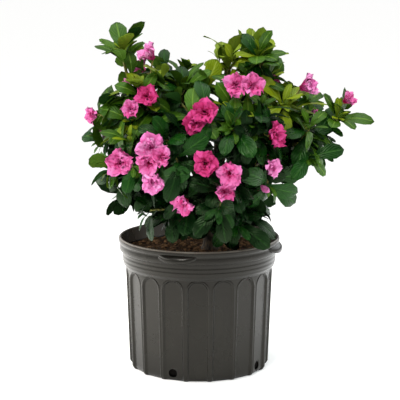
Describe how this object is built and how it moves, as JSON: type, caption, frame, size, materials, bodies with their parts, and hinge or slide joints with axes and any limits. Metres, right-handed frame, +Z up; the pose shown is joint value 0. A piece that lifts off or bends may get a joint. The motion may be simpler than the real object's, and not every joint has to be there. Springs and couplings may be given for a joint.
{
  "type": "potted azalea shrub",
  "caption": "Bushy flowering azalea with whorled glossy leaves and ruffled pink double flowers, standing in a fluted dark grey nursery pot.",
  "frame": {"origin": "middle of the pot's flat underside", "axes": "+Z up along the pot's axis; -Y is the shrub's front, the side with the most flowers; +X to the right seen from the front"},
  "size_m": [0.5112, 0.4838, 0.6034],
  "materials": {
    "pot": "satin dark grey plastic",
    "potting_mix": "crumbly dark bark mix",
    "bark": "rough brown bark",
    "foliage": "glossy leaves, dark with yellow-green young shoots",
    "blossom": "soft matt pink petals"
  },
  "bodies": {
    "root": {"pot": "pot", "soil": "potting_mix", "trunk": "bark", "bough_top_centre": "bark", "bough_left": "bark", "bough_right_mid": "bark", "bough_front_centre": "bark", "bough_back_centre": "bark", "bough_lower_left": "bark", "bough_front_low_right": "bark", "bough_top_left": "bark", "bough_upper_left": "bark", "bough_left_shoulder": "bark", "bough_left_mid": "bark", "bough_back_left": "bark", "bough_centre_left_top": "bark", "bough_top_right": "bark", "bough_back_left_top": "bark", "bough_back_right_top": "bark", "bough_right_upper": "bark", "bough_right_far": "bark", "bough_lower_right": "bark", "bough_back_right": "bark", "bough_front_upper": "bark", "bough_upper_centre": "bark", "bough_front_left": "bark", "bough_front_low_left": "bark", "bough_front_right": "bark", "bough_back_low_left": "bark", "bough_back_low_right": "bark", "mass_top_centre": "foliage", "mass_left": "foliage", "mass_right_mid": "foliage", "mass_front_centre": "foliage", "mass_back_centre": "foliage", "mass_lower_left": "foliage", "mass_front_low_right": "foliage", "mass_top_left": "foliage", "mass_upper_left": "foliage", "mass_left_shoulder": "foliage", "mass_left_mid": "foliage", "mass_back_left": "foliage", "mass_centre_left_top": "foliage", "mass_top_right": "foliage", "mass_back_left_top": "foliage", "mass_back_right_top": "foliage", "mass_right_upper": "foliage", "mass_right_far": "foliage", "mass_lower_right": "foliage", "mass_back_right": "foliage", "mass_front_upper": "foliage", "mass_upper_centre": "foliage", "mass_front_left": "foliage", "mass_front_low_left": "foliage", "mass_front_right": "foliage", "mass_back_low_left": "foliage", "mass_back_low_right": "foliage"}
  },
  "joints": []
}
